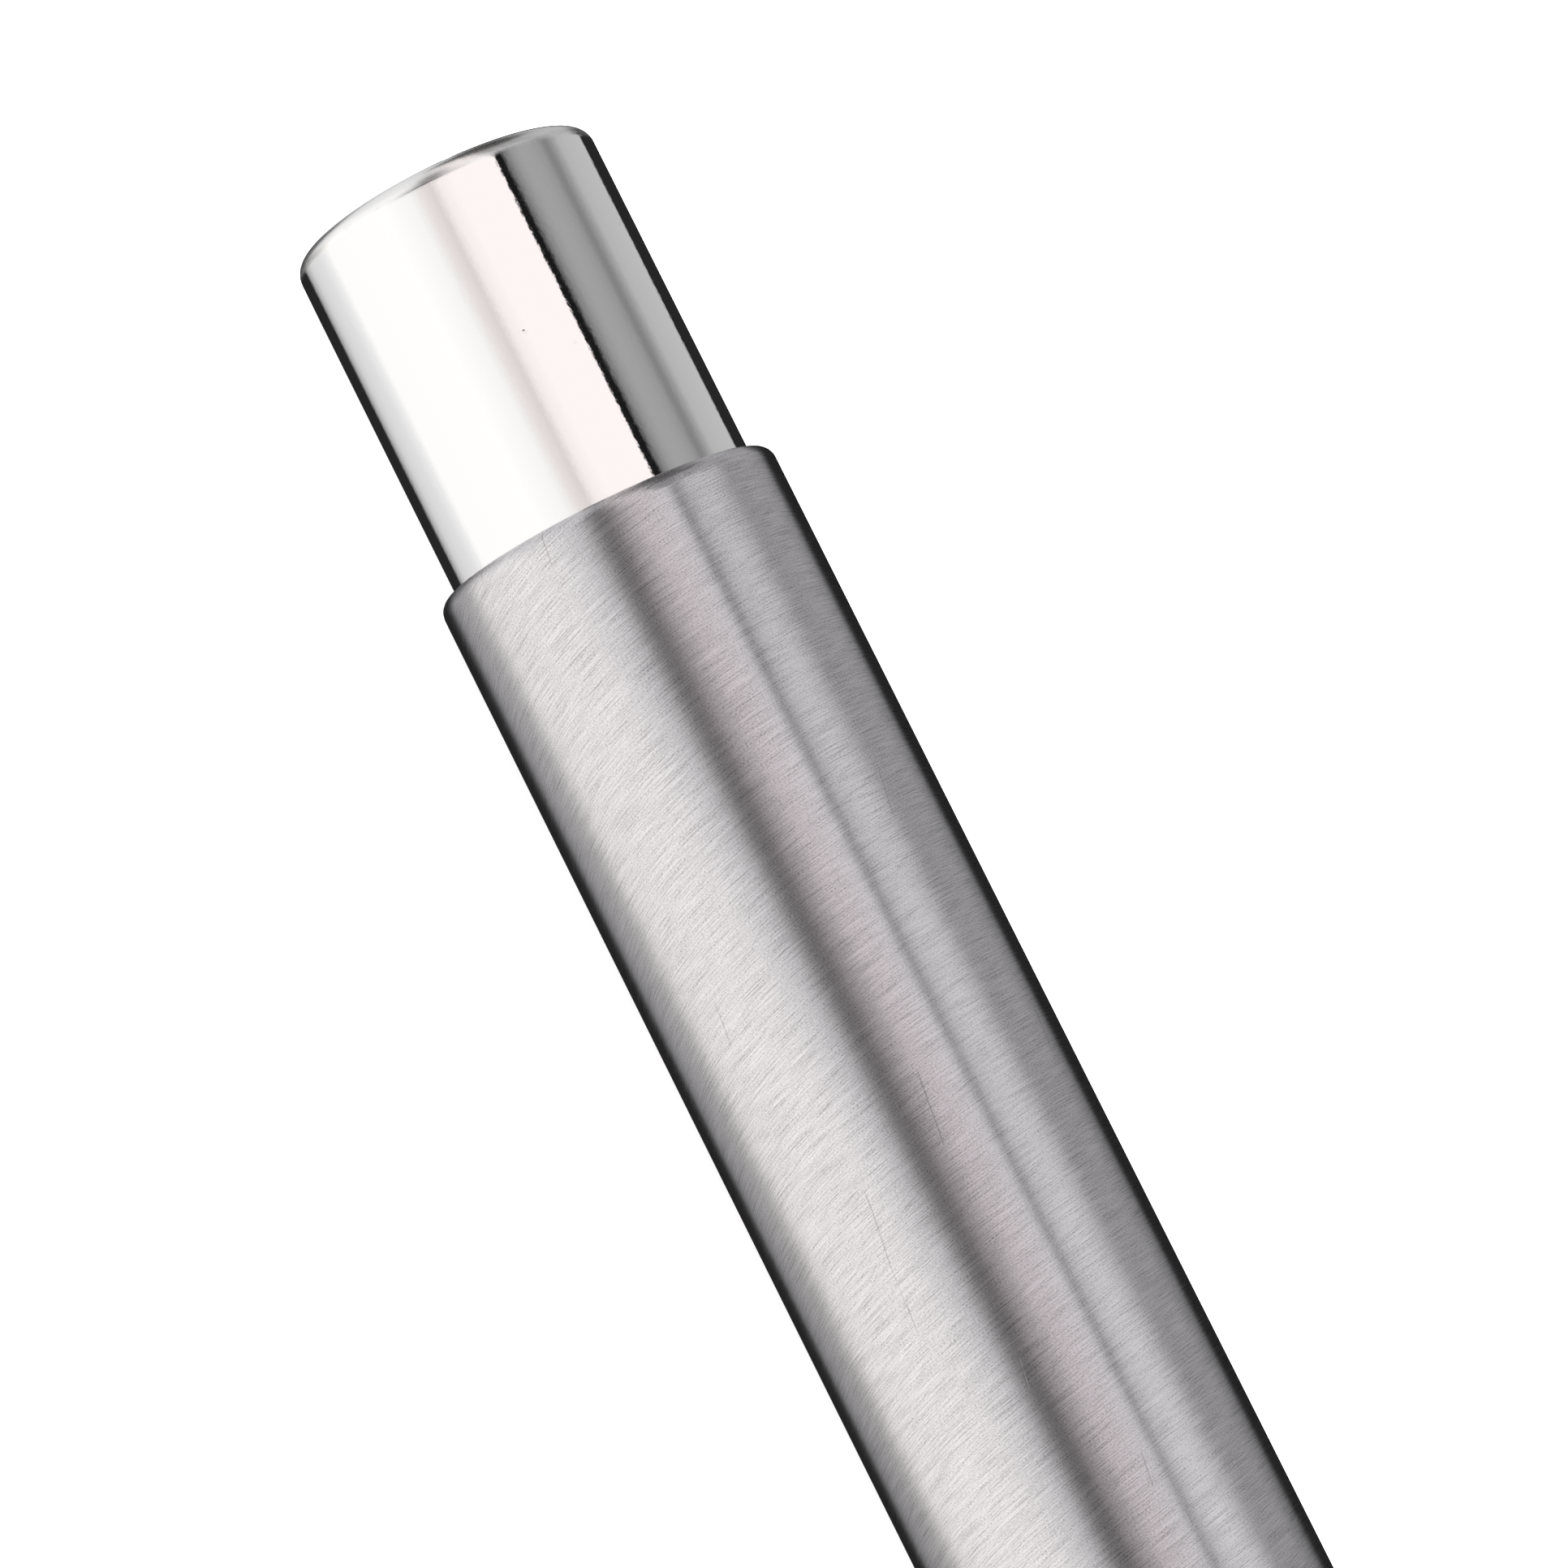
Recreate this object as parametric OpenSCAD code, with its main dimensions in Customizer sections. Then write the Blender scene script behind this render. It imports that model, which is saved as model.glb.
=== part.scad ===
// Push-button ballpoint pen with a brushed steel barrel, lying on a desk on its barrel and its clip's edge.
// Every piece is drawn upright on the pen's own axis, with z = 0 at the nose and the button up,
// and on_desk() then lays it along X with the nose towards +X.

/* [Barrel] */
// Outside diameter of both steel tubes
barrel_d = 10.5; // [10:0.1:12]
// Wall of the steel tubes
barrel_wall = 0.5; // [0.4:0.05:0.6]
// Length of the lower tube, which the writer grips
lower_len = 48; // [44:1:56]
// Rounding of the rim that the button comes out of
rim_round = 0.45; // [0.2:0.05:0.5]
// Rounding of the tubes' other edges
edge_round = 0.15; // [0.05:0.05:0.25]
// Height of the polished ring between the tubes
ring_h = 1.6; // [1:0.1:3]
// How far the ring lies below the tubes' surface
ring_step = 0.25; // [0.05:0.05:0.4]

/* [Nose] */
// Length of the nose cone outside the tube
nose_len = 16; // [14:0.5:20]
// Diameter of the nose cone at its mouth
nose_tip_d = 3.7; // [3.4:0.1:4.4]
// Rounding of the mouth's edge
mouth_round = 0.35; // [0.1:0.05:0.4]
// Step from the tube down to the nose cone
nose_step = 0.2; // [0.05:0.05:0.5]
// How far the nose cone bulges beyond a straight cone
nose_bulge = 0.85; // [0.6:0.05:1.1]
// Length of the nose's plug inside the lower tube
nose_plug_len = 7; // [4:0.5:10]
// Length of the nose's guide for the refill's point
nose_guide_len = 3; // [2:0.1:3.4]
// Depth of the spring's seat from the mouth
spring_seat_z = 5.2; // [4.8:0.1:5.4]
// Length of the narrow room above that seat
spring_room_len = 5.8; // [5:0.1:6.4]

/* [Button] */
// How far the button stands out of the rim
button_out = 10.5; // [8:0.5:14]
// How far the button reaches into the tube at rest
button_in = 4; // [3:0.5:6]
// Full travel of the button
button_travel = 6; // [5.6:0.1:6.2]
// Rounding of the button's end
button_round = 0.5; // [0.3:0.1:1.2]
// Wall of the button's shell
button_wall = 0.5; // [0.35:0.05:0.7]
// Solid end of the button's core above the stem
core_end = 2; // [1:0.5:4]

/* [Click mechanism] */
// Height of the cam teeth
tooth_h = 1.4; // [1:0.1:1.6]
// Wall of the cam sleeve outside its slots
sleeve_wall = 0.85; // [0.7:0.05:0.95]
// Depth of the slots in the cam sleeve
slot_depth = 0.9; // [0.7:0.05:1]
// Width of the slots in the cam sleeve
slot_w = 1.5; // [1.2:0.1:1.8]
// Travel at which the rotor's ribs leave the slots
free_travel = 5.2; // [4.8:0.1:5.4]
// Length of the rotor's ribs
rotor_rib_len = 2.5; // [1.5:0.1:2.6]
// Thickness of the rotor above the refill's end
rotor_cap = 1; // [0.8:0.1:1.6]
// Depth of the rotor's cup round the refill's end
rotor_cup = 2; // [1:0.25:4]
// Wall of that cup
cup_wall = 0.55; // [0.4:0.05:0.6]
// Length of the plunger's guide lugs
lug_len = 5; // [3:0.5:6]
// Diameter of the plunger's pin, which guides the rotor
pin_d = 2.2; // [1.6:0.1:2.8]
// Length of that pin below the plunger's teeth
pin_reach = 2.4; // [1.6:0.1:3]
// Length of the sleeve's skirt below its teeth
skirt_len = 6; // [4:0.5:10]
// Length of the sleeve's collar, which guides the stem
collar_len = 5.6; // [4.6:0.2:8]
// Step of the collar inwards, which stops the plunger
collar_step = 0.38; // [0.3:0.02:0.6]

/* [Refill] */
// Length of the refill, a standard size
refill_len = 98.1; // [97.8:0.1:98.4]
// Diameter of the refill's body, a standard size
refill_d = 5.95; // [5.8:0.05:6]
// Wall of the refill's metal tube
refill_wall = 0.3; // [0.2:0.05:0.4]
// How far the point lies inside the nose at rest
tip_in = 1.2; // [0.8:0.1:1.6]
// Diameter of the writing ball
ball_d = 1; // [0.7:0.1:1.2]
// Diameter of the point holder
point_d = 2.35; // [2.2:0.05:2.5]
// Length of the point holder's cone, with the ball
cone_len = 2.6; // [2:0.1:3]
// Wall of the rim that holds the ball
ball_rim = 0.08; // [0.05:0.01:0.12]
// How far the ball stands out of that rim
ball_out = 0.28; // [0.2:0.01:0.32]
// Hole that feeds the ball
feed_d = 0.6; // [0.4:0.05:0.65]
// Length of the point holder in front of the refill's neck
point_len = 9.5; // [9:0.1:10]
// Length of the point holder inside that neck
shank_len = 3; // [2:0.5:4]
// Diameter of the refill's neck
neck_d = 3.4; // [3.2:0.05:3.6]
// Length of that neck
neck_len = 4.5; // [4:0.1:5]
// Diameter of the shoulder that the spring pushes on
shoulder_d = 4.6; // [4.4:0.05:4.8]
// Length of that shoulder
shoulder_len = 1.5; // [1:0.1:2]
// Length of the taper from the shoulder to the body
taper_len = 3; // [2:0.25:5]
// Length of the plug at the refill's end
plug_len = 6; // [4:0.5:10]
// How far the plug reaches into the tube
plug_in = 3.5; // [2:0.5:6]
// Air hole through the plug
air_d = 1; // [0.6:0.1:1.6]
// Width of the slits across the plug's end
slit_w = 1.2; // [0.8:0.1:1.6]
// Depth of those slits
slit_depth = 1.5; // [1:0.25:2.5]
// Air between the ink and the plug
ink_air = 8.5; // [4:0.5:40]
// Distance of the ink's foot above the taper
ink_foot = 1; // [0.6:0.1:4]

/* [Spring] */
// Wire of the return spring
wire_d = 0.4; // [0.3:0.01:0.42]
// Turns of the return spring
spring_turns = 8; // [6:1:8]

/* [Clip] */
// Length of the clip from its leg to its end
clip_len = 38; // [32:1:44]
// Width of the clip at its root
clip_w = 4; // [3:0.1:4.4]
// Length of the clip that has this full width
full_w_len = 8; // [4:1:16]
// Width of the clip at its rounded end
clip_end_w = 3.2; // [2.4:0.1:3.2]
// Thickness of the clip
clip_t = 0.8; // [0.6:0.05:0.9]
// Gap between the clip and the tube at the root
clip_gap = 1.9; // [1.6:0.1:3]
// How much narrower that gap is at the far end of the arm
clip_lean = 0.6; // [0:0.1:1]
// Inside radius of the bend at the clip's root
clip_bend = 0.8; // [0.4:0.1:1.2]
// Length of the slope down to the clip's low point
ramp_len = 6; // [4:0.5:10]
// Length of the clip's turned-up end beyond the low point
toe_len = 5; // [3:0.5:8]
// How far the clip's end turns up from the tube
clip_lift = 1.3; // [0.8:0.1:2]
// Step at each side of the clip's tongue, which goes through the tube
tongue_step = 0.5; // [0.3:0.1:0.8]
// Length of the hook that holds the clip inside the tube
hook_len = 1.2; // [0.8:0.1:1.4]
// Distance of the tongue below the end of the cam sleeve
clip_below = 1.6; // [1:0.1:2]

/* [Screw joint] */
// Wall of the threaded bush in the upper tube
socket_wall = 0.68; // [0.6:0.02:0.76]
// Length of the thread
thread_len = 7; // [5:0.5:9]
// Chamfer at the start of the thread
thread_lead = 0.5; // [0.3:0.1:0.8]
// Length of each bush inside its tube
bush_len = 9; // [6:0.5:12]
// Step from the thread out to the land under the ring
land_step = 0.25; // [0.15:0.05:0.3]
// Wall of the spigot under the rubber ring's groove
groove_wall = 0.38; // [0.3:0.02:0.6]

/* [Clearances] */
// Clearance round a piece that is pressed or glued in
fit_gap = 0.02; // [0.01:0.01:0.03]
// Clearance round a piece that slides or turns
run_gap = 0.1; // [0.06:0.01:0.12]
// Clearance between faces that rest on each other
seat_gap = 0.02; // [0.01:0.01:0.04]
// Clearance round the screw thread and under the ring
thread_gap = 0.05; // [0.03:0.01:0.1]
// Clearance round the refill and its spring
refill_gap = 0.3; // [0.2:0.05:0.4]
// Clearance round the clip's tongue in its slot
slot_gap = 0.1; // [0.05:0.05:0.2]
// Clearance round the clip's hook
hook_gap = 0.15; // [0.15:0.05:0.3]
// Clearance between the spring and the refill's neck
spring_gap = 0.25; // [0.2:0.05:0.3]
// Clearance round the writing ball
ball_gap = 0.015; // [0.01:0.005:0.03]
// Clearance left at the end of a stroke
stop_gap = 0.4; // [0.3:0.05:0.6]
// Clearance of the rubber ring inside the tube
ring_gap = 0.15; // [0.1:0.05:0.3]

/* [Hidden] */
$fn = 64;
eps = 0.01;
// Turn of the round stock about its axis, so that its start line meets no wall of a tooth
start_turn = 3.5;

// Inside of the tubes
bore_d = barrel_d - 2 * barrel_wall;
pressed_d = bore_d - 2 * fit_gap;

// Refill, measured from its own point
collar_from = point_len + neck_len;
collar_to = collar_from + shoulder_len;
body_from = collar_to + taper_len;
plug_from = refill_len - plug_len;
refill_end_z = tip_in + refill_len;
tube_bore = refill_d - 2 * refill_wall;
neck_bore = neck_d - 2 * refill_wall;

// Cam sleeve and rotor: diameters that follow the tube's bore
teeth = 8;
ribs = teeth / 2;
pitch = 360 / teeth;
slot_d = pressed_d - 2 * sleeve_wall;
core_bore = slot_d - 2 * slot_depth;
core_d = core_bore - 2 * run_gap;
lug_d = slot_d - 2 * run_gap;
stem_bore = core_bore - 2 * collar_step;
stem_d = stem_bore - 2 * run_gap;
cup_bore = refill_d + 2 * run_gap;
cup_d = cup_bore + 2 * cup_wall;
skirt_bore = max(cup_d + 2 * refill_gap, slot_d);
rib_w = slot_w - 2 * run_gap;

// Click mechanism: heights at rest, stacked on the refill's end
sleeve_teeth_z = refill_end_z + rotor_cap + stop_gap;
rib_edge = asin(rib_w / slot_d);
rotor_edge_rise = tooth_h / 2 * (1 + tan(rib_edge) / tan(pitch / 2));
rotor_teeth_z = sleeve_teeth_z + free_travel - rotor_edge_rise;
plunger_teeth_z = rotor_teeth_z + tooth_h / 2 + seat_gap;
lug_z = rotor_teeth_z + tooth_h + refill_gap;
collar_z = lug_z + lug_len + seat_gap;
sleeve_top_z = collar_z + collar_len;
sleeve_foot_z = sleeve_teeth_z - skirt_len;

// Button, above the sleeve at the end of its stroke
button_z = sleeve_top_z + stop_gap + button_travel;
rim_z = button_z + button_in;
button_len = button_out + button_in;
pen_len = rim_z + button_out;
button_d = bore_d - 2 * run_gap;
insert_d = button_d - 2 * button_wall - 2 * fit_gap;
insert_len = button_len - button_wall - seat_gap;
stem_in = insert_len - core_end;

// Tubes and the joint between them
joint_z = nose_len + lower_len;
upper_z = joint_z + ring_h;
upper_len = rim_z - upper_z;
spigot_bore = refill_d + 2 * refill_gap;
thread_d = pressed_d - 2 * socket_wall - 2 * thread_gap;
land_d = thread_d + 2 * land_step;
groove_d = spigot_bore + 2 * groove_wall;
o_ring_d = (bore_d - groove_d) / 2 - ring_gap;
groove_h = o_ring_d + 2 * ring_gap;
socket_z = upper_z + groove_h + seat_gap;

// Nose
guide_d = point_d + 2 * run_gap;
neck_room_d = neck_d + 2 * refill_gap;
spring_room_d = shoulder_d + 2 * refill_gap;
nose_step_z = spring_seat_z + spring_room_len;

// Spring between the nose's seat and the refill's shoulder
spring_d = neck_d + 2 * wire_d + 2 * spring_gap;
spring_len = tip_in + collar_from - spring_seat_z - 2 * seat_gap;
spring_rise = (spring_len - wire_d) / spring_turns;
spring_sides = 6;
spring_steps = 14;
echo(gap_between_spring_turns = spring_rise - wire_d);

// Clip, as distances out from the pen's axis
clip_z = sleeve_top_z - clip_below;
tongue_w = clip_w - 2 * tongue_step;
hook_out = sqrt(pow(bore_d / 2 - hook_gap, 2) - pow(tongue_w / 2, 2));
shoulder_out = barrel_d / 2 + 2 * hook_gap;
clip_in = barrel_d / 2 + clip_gap;
clip_out = clip_in + clip_t;
clip_bend_u = clip_t / 2 + clip_bend;
clip_low_u = clip_len - toe_len;
clip_steps = 44;

// The clip's corner and the tube touch the desk together at this roll from straight down
clip_corner = norm([clip_out, clip_w / 2]);
clip_roll = atan(clip_w / 2 / clip_out) + acos(barrel_d / 2 / clip_corner);
clip_reach_y = clip_out * sin(clip_roll) + clip_w / 2 * cos(clip_roll);
axis_y = (barrel_d / 2 - clip_reach_y) / 2;

// Frame: bounding box centred over the origin, desk at z = 0
module on_desk() {
    translate([pen_len / 2, axis_y, barrel_d / 2])
        rotate([180 + clip_roll, 0, 0])
            rotate([0, -90, 0])
                children();
}

// Half outline of a turned bar, with its edges rounded
module bar_outline(d, h, top_r, foot_r) {
    r = d / 2;
    translate([0, foot_r]) square([r, h - foot_r - top_r]);
    square([r - foot_r, h / 2]);
    translate([0, h / 2]) square([r - top_r, h / 2]);
    translate([r - foot_r, foot_r]) circle(foot_r);
    translate([r - top_r, h - top_r]) circle(top_r);
}

module turned_bar(d, h, top_r, foot_r) {
    rotate_extrude()
        intersection() {
            bar_outline(d, h, top_r, foot_r);
            square([d, h]);
        }
}

// Turned piece from the diameter and the height of each of its corners
module turned(corners) {
    rotate([0, 0, start_turn])
        rotate_extrude()
            polygon([for (c = corners) [c[0] / 2, c[1]]]);
}

// Plain hole, cut a little past both its ends
module hole(d, from, to) {
    translate([0, 0, from - eps])
        rotate([0, 0, start_turn])
            cylinder(d = d, h = to - from + 2 * eps);
}

module rod(d, from, to) {
    translate([0, 0, from])
        rotate([0, 0, start_turn])
            cylinder(d = d, h = to - from);
}

// Cuts that leave a ring of saw teeth, rising anticlockwise by tooth_h at the slots' radius:
// above takes off all that is over the slopes, and otherwise all that is under them goes
module saw_cuts(reach, above) {
    far = 1.3 * reach;
    near = pin_d / 4;
    lap = 15;
    rise = tooth_h / slot_d / tan(pitch / 2) * far;
    clear_of = rise + tooth_h;
    from = above ? -pitch / 2 : -pitch / 2 - lap;
    to = above ? pitch / 2 + lap : pitch / 2;
    for (i = [0 : teeth - 1])
        rotate([0, 0, (i + 0.5) * pitch])
            intersection() {
                translate([0, 0, -clear_of])
                    linear_extrude(2 * clear_of + tooth_h)
                        polygon([near * [cos(from), sin(from)], far * [cos(from), sin(from)],
                                 far * [cos(to), sin(to)], near * [cos(to), sin(to)]]);
                rotate([90, 0, 90])
                    linear_extrude(far)
                        polygon([[-far, tooth_h / 2 - rise], [far, tooth_h / 2 + rise],
                                 above ? [far, 2 * clear_of] : [far, -2 * clear_of],
                                 above ? [-far, 2 * clear_of] : [-far, -2 * clear_of]]);
            }
}

// One radial bar for each slot, centred on the first tooth's middle
module rib_bars(w, d, from, to) {
    for (i = [0 : ribs - 1])
        rotate([0, 0, pitch / 2 + i * 360 / ribs])
            translate([0, -w / 2, from])
                cube([d / 2, w, to - from]);
}

module upper_barrel() {
    color("silver")
        on_desk()
            difference() {
                translate([0, 0, upper_z])
                    turned_bar(barrel_d, upper_len, min(rim_round, barrel_wall - 0.05), edge_round);
                hole(bore_d, upper_z, rim_z);
                clip_slot();
            }
}

module clip_slot() {
    w = tongue_w + 2 * slot_gap;
    h = clip_t + 2 * slot_gap;
    translate([bore_d / 4, -w / 2, clip_z - h / 2]) cube([barrel_d / 2, w, h]);
}

module lower_barrel() {
    color("silver")
        on_desk()
            difference() {
                translate([0, 0, nose_len]) turned_bar(barrel_d, lower_len, edge_round, edge_round);
                hole(bore_d, nose_len, joint_z);
            }
}

module centre_ring() {
    color("gainsboro")
        on_desk()
            difference() {
                translate([0, 0, joint_z + seat_gap])
                    turned_bar(barrel_d - 2 * ring_step, ring_h - 2 * seat_gap, edge_round, edge_round);
                hole(land_d + 2 * thread_gap, joint_z, upper_z);
            }
}

// Outside of the nose cone at a share t of its length: a cone with a swelling, widest past the middle
function nose_r(t) =
    nose_tip_d / 2 + (barrel_d / 2 - nose_step - nose_tip_d / 2) * t + nose_bulge * sin(180 * pow(t, 0.8));

module nose_cone() {
    steps = 24;
    outline = concat(
        [for (a = [0 : 15 : 75])
            [nose_tip_d - 2 * mouth_round * (1 - sin(a)), mouth_round * (1 - cos(a))]],
        [for (i = [1 : steps]) let (t = i / steps)
            [2 * nose_r(t), mouth_round + (nose_len - mouth_round) * t]]);
    color("gainsboro")
        on_desk()
            difference() {
                turned(concat([[0, 0]], outline, [[pressed_d, nose_len], [pressed_d, nose_len + nose_plug_len],
                                                  [0, nose_len + nose_plug_len]]));
                hole(guide_d, 0, nose_guide_len);
                translate([0, 0, nose_guide_len])
                    cylinder(d1 = guide_d, d2 = neck_room_d, h = (neck_room_d - guide_d) / 2);
                hole(neck_room_d, nose_guide_len + (neck_room_d - guide_d) / 2, spring_seat_z);
                hole(spring_room_d, spring_seat_z + eps, nose_step_z);
                hole(spigot_bore, nose_step_z, nose_len + nose_plug_len);
            }
}

// Centre of the clip's strip above the tube's axis, at a distance u from its leg
function blend(t) = (1 - cos(180 * min(max(t, 0), 1))) / 2;
function clip_rise(u) =
    let (low = barrel_d / 2 + seat_gap,
         down = blend((u - clip_low_u + ramp_len) / ramp_len),
         up = blend((u - clip_low_u) / toe_len),
         arm = clip_in - clip_lean * (u - clip_bend_u) / clip_len)
    arm * (1 - down) + low * down + clip_lift * up;

// Side view of the clip: x is the distance from the axis, y falls from the leg towards the nose
function clip_side() =
    let (bend = [clip_in - clip_bend, clip_bend_u],
         along = [for (i = [0 : clip_steps]) clip_bend_u + (clip_len - clip_bend_u) * i / clip_steps])
    concat(
        [for (a = [90 : -15 : 15])
            [bend[0] + (clip_bend + clip_t) * cos(a), bend[1] - (clip_bend + clip_t) * sin(a)]],
        [for (u = along) [clip_rise(u) + clip_t, u]],
        [for (i = [clip_steps : -1 : 0]) [clip_rise(along[i]), along[i]]],
        [for (a = [15 : 15 : 90]) [bend[0] + clip_bend * cos(a), bend[1] - clip_bend * sin(a)]],
        [[hook_out, clip_t / 2], [hook_out, clip_t / 2 + hook_len],
         [hook_out - clip_t, clip_t / 2 + hook_len], [hook_out - clip_t, -clip_t / 2]]);

module clip() {
    end_r = clip_end_w / 2;
    color("gainsboro")
        on_desk()
            translate([0, 0, clip_z])
                intersection() {
                    rotate([-90, 0, 0])
                        linear_extrude(clip_w, center = true)
                            polygon(clip_side());
                    rotate([0, 90, 0])
                        linear_extrude(clip_out + clip_lift) {
                            polygon([[-clip_t, -clip_w / 2], [full_w_len, -clip_w / 2],
                                     [clip_len - end_r, -end_r], [clip_len - end_r, end_r],
                                     [full_w_len, clip_w / 2], [-clip_t, clip_w / 2]]);
                            translate([clip_len - end_r, 0]) circle(end_r);
                        }
                    translate([0, 0, -clip_len - 1])
                        linear_extrude(clip_len + clip_t + 1) {
                            translate([0, -tongue_w / 2]) square([shoulder_out + eps, tongue_w]);
                            translate([shoulder_out, -clip_w / 2]) square([clip_out, clip_w]);
                        }
                }
}

module push_button() {
    color("gainsboro")
        on_desk()
            translate([0, 0, button_z])
                difference() {
                    turned_bar(button_d, button_len, button_round, edge_round);
                    translate([0, 0, -1])
                        turned_bar(button_d - 2 * button_wall, button_len - button_wall + 1,
                                   max(button_round - button_wall, 0.05), 0.05);
                }
}

module button_insert() {
    color("dimgray")
        on_desk()
            translate([0, 0, button_z])
                difference() {
                    turned_bar(insert_d, insert_len, button_round, edge_round);
                    hole(stem_d + 2 * fit_gap, 0, stem_in);
                }
}

module click_plunger() {
    color("white")
        on_desk() {
            difference() {
                union() {
                    rod(core_d, plunger_teeth_z, collar_z - seat_gap);
                    rod(stem_d, collar_z - seat_gap - eps, button_z + stem_in - seat_gap);
                    intersection() {
                        rod(lug_d, lug_z, collar_z - seat_gap);
                        rib_bars(rib_w, slot_d, lug_z, collar_z - seat_gap);
                    }
                }
                translate([0, 0, plunger_teeth_z])
                    rotate([0, 0, pitch / 2])
                        saw_cuts(core_d / 2, false);
            }
            rod(pin_d, plunger_teeth_z - pin_reach, plunger_teeth_z + tooth_h + eps);
        }
}

module click_rotor() {
    top = rotor_teeth_z + tooth_h;
    color("white")
        on_desk()
            difference() {
                union() {
                    rod(core_d, refill_end_z, top);
                    intersection() {
                        rod(lug_d, refill_end_z, top + eps);
                        rib_bars(rib_w, slot_d, rotor_teeth_z - rotor_rib_len, top);
                    }
                    rod(cup_d, refill_end_z - rotor_cup, refill_end_z + rotor_cap);
                }
                hole(cup_bore, refill_end_z - rotor_cup, refill_end_z + seat_gap - eps);
                translate([0, 0, rotor_teeth_z]) saw_cuts(slot_d / 2, true);
                hole(pin_d + 2 * run_gap, plunger_teeth_z - pin_reach - refill_gap, top);
            }
}

module click_sleeve() {
    wall_at = asin(slot_w / slot_d) - 0.7;
    hook_floor = hook_out - clip_t - hook_gap - slot_gap;
    hook_end = clip_z - clip_t / 2 - hook_len - 2 * hook_gap;
    recess_w = tongue_w + 4 * slot_gap;
    color("ivory")
        on_desk()
            difference() {
                rod(pressed_d, sleeve_foot_z, sleeve_top_z);
                hole(stem_bore, collar_z, sleeve_top_z);
                hole(core_bore, sleeve_foot_z, collar_z - eps);
                hole(skirt_bore, sleeve_foot_z, sleeve_teeth_z - eps);
                intersection() {
                    rod(slot_d, sleeve_teeth_z - 2 * eps, sleeve_teeth_z + tooth_h);
                    translate([0, 0, sleeve_teeth_z])
                        rotate([0, 0, pitch / 2 + wall_at])
                            saw_cuts(slot_d / 2, false);
                }
                intersection() {
                    rod(slot_d, sleeve_teeth_z, collar_z);
                    rib_bars(slot_w, slot_d, sleeve_teeth_z - eps, collar_z);
                }
                translate([hook_floor, -recess_w / 2, hook_end])
                    cube([barrel_d, recess_w, sleeve_top_z - hook_end + eps]);
            }
}

module joint_socket() {
    color("goldenrod")
        on_desk()
            difference() {
                rod(pressed_d, socket_z, socket_z + bush_len);
                hole(thread_d + 2 * thread_gap, socket_z, socket_z + bush_len);
            }
}

module joint_spigot() {
    top = upper_z + groove_h + thread_len;
    color("goldenrod")
        on_desk()
            difference() {
                turned([[0, joint_z - bush_len], [pressed_d, joint_z - bush_len], [pressed_d, joint_z],
                        [land_d, joint_z], [land_d, upper_z], [groove_d, upper_z],
                        [groove_d, upper_z + groove_h], [thread_d, upper_z + groove_h],
                        [thread_d, top - thread_lead], [thread_d - 2 * thread_lead, top], [0, top]]);
                hole(spigot_bore, joint_z - bush_len, top);
            }
}

module joint_o_ring() {
    color("black")
        on_desk()
            translate([0, 0, upper_z + seat_gap + o_ring_d / 2])
                rotate_extrude()
                    translate([groove_d / 2 + seat_gap + o_ring_d / 2, 0])
                        circle(d = o_ring_d);
}

// Helix as one six-sided tube, from the nose's seat to the refill's shoulder
function spring_point(turn, side) =
    let (around = 360 * side / spring_sides,
         out = spring_d / 2 - wire_d / 2 + wire_d / 2 * cos(around),
         rise = spring_rise * turn)
    [out * cos(360 * turn), out * sin(360 * turn), wire_d / 2 + rise + wire_d / 2 * sin(around)];

module return_spring() {
    rings = spring_turns * spring_steps;
    points = [for (i = [0 : rings]) for (k = [0 : spring_sides - 1]) spring_point(i / spring_steps, k)];
    last = rings * spring_sides;
    walls = [for (i = [0 : rings - 1]) for (k = [0 : spring_sides - 1])
        let (a = i * spring_sides + k, b = i * spring_sides + (k + 1) % spring_sides)
        each [[a, a + spring_sides, b], [b, a + spring_sides, b + spring_sides]]];
    ends = [for (k = [1 : spring_sides - 2]) each [[0, k, k + 1], [last, last + k + 1, last + k]]];
    color("lightsteelblue")
        on_desk()
            translate([0, 0, spring_seat_z + seat_gap])
                polyhedron(points, concat(walls, ends));
}

// The refill's pieces are drawn from its own point, and this sets them into the pen
module in_pen() {
    on_desk() translate([0, 0, tip_in]) children();
}

module refill_tube() {
    color("darkgray")
        in_pen()
            turned([[neck_bore, point_len], [neck_d, point_len], [neck_d, collar_from],
                    [shoulder_d, collar_from], [shoulder_d, collar_to], [refill_d, body_from],
                    [refill_d, plug_from], [tube_bore, plug_from], [tube_bore, body_from + 2 * refill_wall],
                    [neck_bore, collar_to + 2 * refill_wall]]);
}

module refill_plug() {
    plug_d = tube_bore - 2 * fit_gap;
    color("white")
        in_pen()
            difference() {
                turned([[0, plug_from - plug_in], [plug_d, plug_from - plug_in], [plug_d, plug_from + seat_gap],
                        [refill_d, plug_from + seat_gap], [refill_d, refill_len], [0, refill_len]]);
                hole(air_d, plug_from - plug_in, refill_len);
                for (a = [0, 90])
                    rotate([0, 0, a])
                        translate([-refill_d, -slit_w / 2, refill_len - slit_depth])
                            cube([2 * refill_d, slit_w, 2 * slit_depth]);
            }
}

module refill_point() {
    shank_d = neck_bore - 2 * fit_gap;
    color("khaki")
        in_pen()
            difference() {
                turned([[0, ball_out], [ball_d + 2 * ball_rim, ball_out], [point_d, cone_len],
                        [point_d, point_len], [shank_d, point_len], [shank_d, point_len + shank_len],
                        [0, point_len + shank_len]]);
                translate([0, 0, ball_d / 2]) sphere(d = ball_d + 2 * ball_gap);
                hole(feed_d, ball_d / 2, point_len + shank_len);
            }
}

module writing_ball() {
    color("slategray")
        in_pen()
            translate([0, 0, ball_d / 2])
                sphere(d = ball_d);
}

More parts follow.
